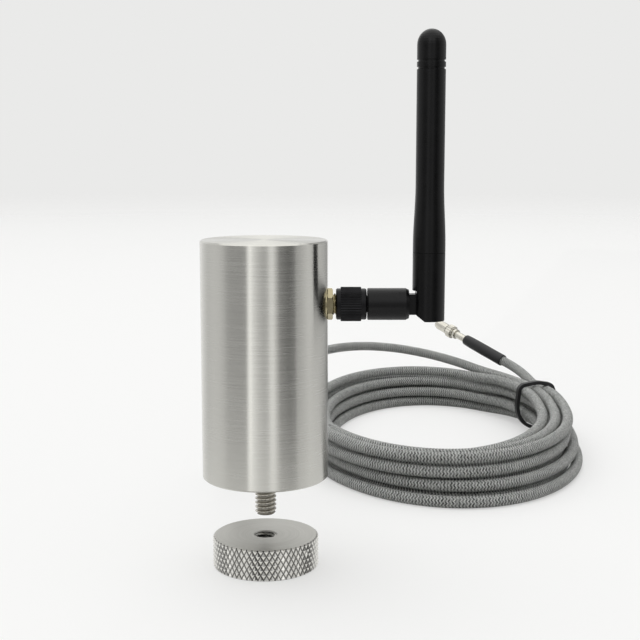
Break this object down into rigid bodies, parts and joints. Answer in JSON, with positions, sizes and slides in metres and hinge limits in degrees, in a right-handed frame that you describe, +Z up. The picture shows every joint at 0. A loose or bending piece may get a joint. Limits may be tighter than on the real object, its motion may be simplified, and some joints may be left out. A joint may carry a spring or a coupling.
{
  "type": "wireless vibration sensor",
  "caption": "Cylindrical stainless vibration sensor with a threaded stud, a knurled magnet base, a folding stub antenna and a coiled braided cable ending in a small plug.",
  "frame": {"origin": "centre of the magnet base's underside, on the surface it stands on", "axes": "+Z up the sensor's axis, +X towards the antenna, +Y towards the cable"},
  "size_m": [0.141, 0.2659, 0.1567],
  "materials": {
    "stainless": "brushed",
    "stud_steel": "machined",
    "base_steel": "turned and knurled",
    "magnet": "nickel plated",
    "brass": "bright",
    "ptfe": "waxy",
    "black_plastic": "fine matt",
    "black_coupling": "black plated",
    "rubber": "matt",
    "shrink": "matt",
    "braid": "braided",
    "nickel": "satin nickel",
    "board": "solder mask",
    "battery": "sleeved"
  },
  "bodies": {
    "sensor": {"housing_shell": "stainless", "base_plate": "stainless", "base_seal": "rubber", "accelerometer_capsule": "nickel", "board_cradle": "black_plastic", "circuit_board": "board", "radio_module": "nickel", "battery_cell": "battery", "battery_contacts": "nickel", "cable_terminal": "ptfe", "antenna_socket": "brass", "antenna_coax": "black_plastic", "antenna_jack": "brass", "jack_insulator": "ptfe", "jack_contact": "brass", "jack_washer": "brass", "jack_nut": "brass", "antenna_ferrule": "black_coupling", "antenna_pin": "brass", "gland_body": "nickel", "gland_nut": "nickel", "gland_seal": "rubber", "strain_relief": "rubber", "cable_lead": "braid", "cable_coil": "braid", "cable_tail": "braid", "cable_tie": "shrink", "heat_shrink": "shrink", "plug_body": "nickel", "plug_pin": "brass"},
    "stud": {"mounting_stud": "stud_steel"},
    "base": {"magnet_base": "base_steel", "base_magnet": "magnet"},
    "coupling": {"coupling_nut": "black_coupling"},
    "collar": {"antenna_collar": "black_plastic"},
    "mast": {"hinge_pin": "stud_steel", "mast_knuckle": "black_plastic", "mast_sleeve": "black_plastic", "mast_tip": "black_plastic", "radiator": "brass"},
    "plug_ring": {"plug_nut": "nickel"}
  },
  "joints": [
    {"name": "stud_travel", "type": "slide", "parent": "sensor", "child": "stud", "axis": [0, 0, 1], "range_m": [0, 0.003]},
    {"name": "base_travel", "type": "slide", "parent": "stud", "child": "base", "axis": [0, 0, 1], "range_m": [0, 0.01397]},
    {"name": "coupling_spin", "type": "hinge", "parent": "sensor", "child": "coupling", "pos_m": [0.025, 0, 0.0785], "axis": [1, 0, 0], "continuous": true},
    {"name": "antenna_swivel", "type": "hinge", "parent": "sensor", "child": "collar", "pos_m": [0.036, 0, 0.0785], "axis": [1, 0, 0], "range_deg": [-135, 135]},
    {"name": "antenna_fold", "type": "hinge", "parent": "collar", "child": "mast", "pos_m": [0.0477, 0, 0.0785], "axis": [0, 1, 0], "range_deg": [0, 90]},
    {"name": "plug_nut_spin", "type": "hinge", "parent": "sensor", "child": "plug_ring", "pos_m": [0.08103, 0.23871, 0.03334], "axis": [-0.6163, 0.7345, 0.284], "continuous": true}
  ]
}
